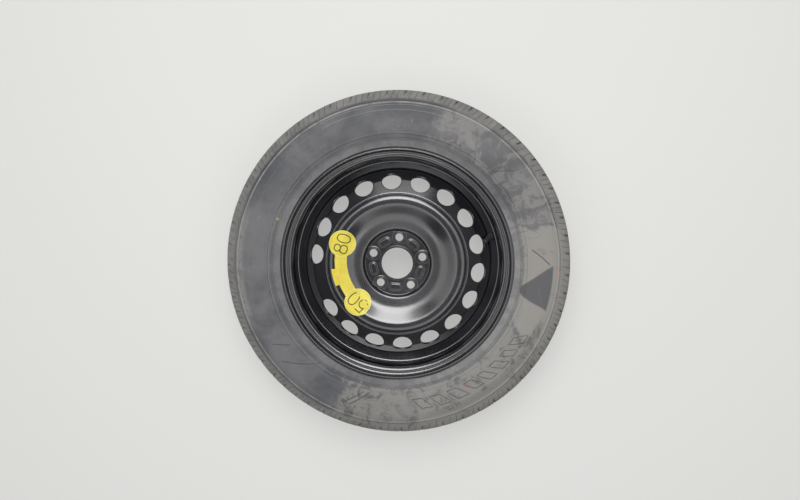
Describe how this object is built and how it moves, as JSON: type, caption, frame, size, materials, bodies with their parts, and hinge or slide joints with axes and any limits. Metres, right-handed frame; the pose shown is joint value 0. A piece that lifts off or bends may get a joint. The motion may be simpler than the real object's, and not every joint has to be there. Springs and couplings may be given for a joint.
{
  "type": "space saver spare wheel",
  "caption": "Narrow temporary spare wheel: vented pressed steel disc in a drop-centre rim, tall narrow tyre, snap-in rubber valve with a screw cap.",
  "frame": {"origin": "middle of the wheel, on its axis, halfway between the sidewalls; the wheel lies on its inner side", "axes": "+Z along the wheel's axis towards the outer face, +Y towards the top of the wheel in the picture"},
  "size_m": [0.7108, 0.7108, 0.155],
  "materials": {
    "tyre": "matt rubber with dust",
    "rim": "gloss black enamel",
    "wheel_disc": "gloss black enamel",
    "disc_welds": "black enamel over a weld bead",
    "valve_body": "matt",
    "valve_stem": "plain",
    "core_barrel": "plain",
    "core_gasket": "matt",
    "core_pin": "plain",
    "core_cup": "matt",
    "core_spring": "plain",
    "valve_cap": "moulded",
    "cap_seal": "matt",
    "speed_sticker": "printed vinyl film"
  },
  "bodies": {
    "wheel": {"tyre": "tyre", "rim": "rim", "wheel_disc": "wheel_disc", "disc_welds": "disc_welds", "valve_body": "valve_body", "valve_stem": "valve_stem", "core_barrel": "core_barrel", "core_gasket": "core_gasket", "core_spring": "core_spring", "speed_sticker": "speed_sticker"},
    "valve_pin": {"core_pin": "core_pin", "core_cup": "core_cup"},
    "cap_carrier": {"cap_seal": "cap_seal"},
    "cap": {"valve_cap": "valve_cap"}
  },
  "joints": [
    {"name": "pin_press", "type": "slide", "parent": "wheel", "child": "valve_pin", "axis": [0.535, 0.4017, -0.7433], "range_m": [0, 0.001], "stiffness_N_per_m": 600, "springref_m": -0.002},
    {"name": "cap_lift", "type": "slide", "parent": "wheel", "child": "cap_carrier", "axis": [-0.535, -0.4017, 0.7433], "range_m": [0, 0.00397]},
    {"name": "cap_turn", "type": "hinge", "parent": "cap_carrier", "child": "cap", "pos_m": [0.18189, 0.04474, 0.02571], "axis": [-0.535, -0.4017, 0.7433], "range_deg": [0, 1830]}
  ],
  "couplings": [
    {"joint": "cap_turn", "follows": "cap_lift", "rad_per_m": 7913.3}
  ]
}
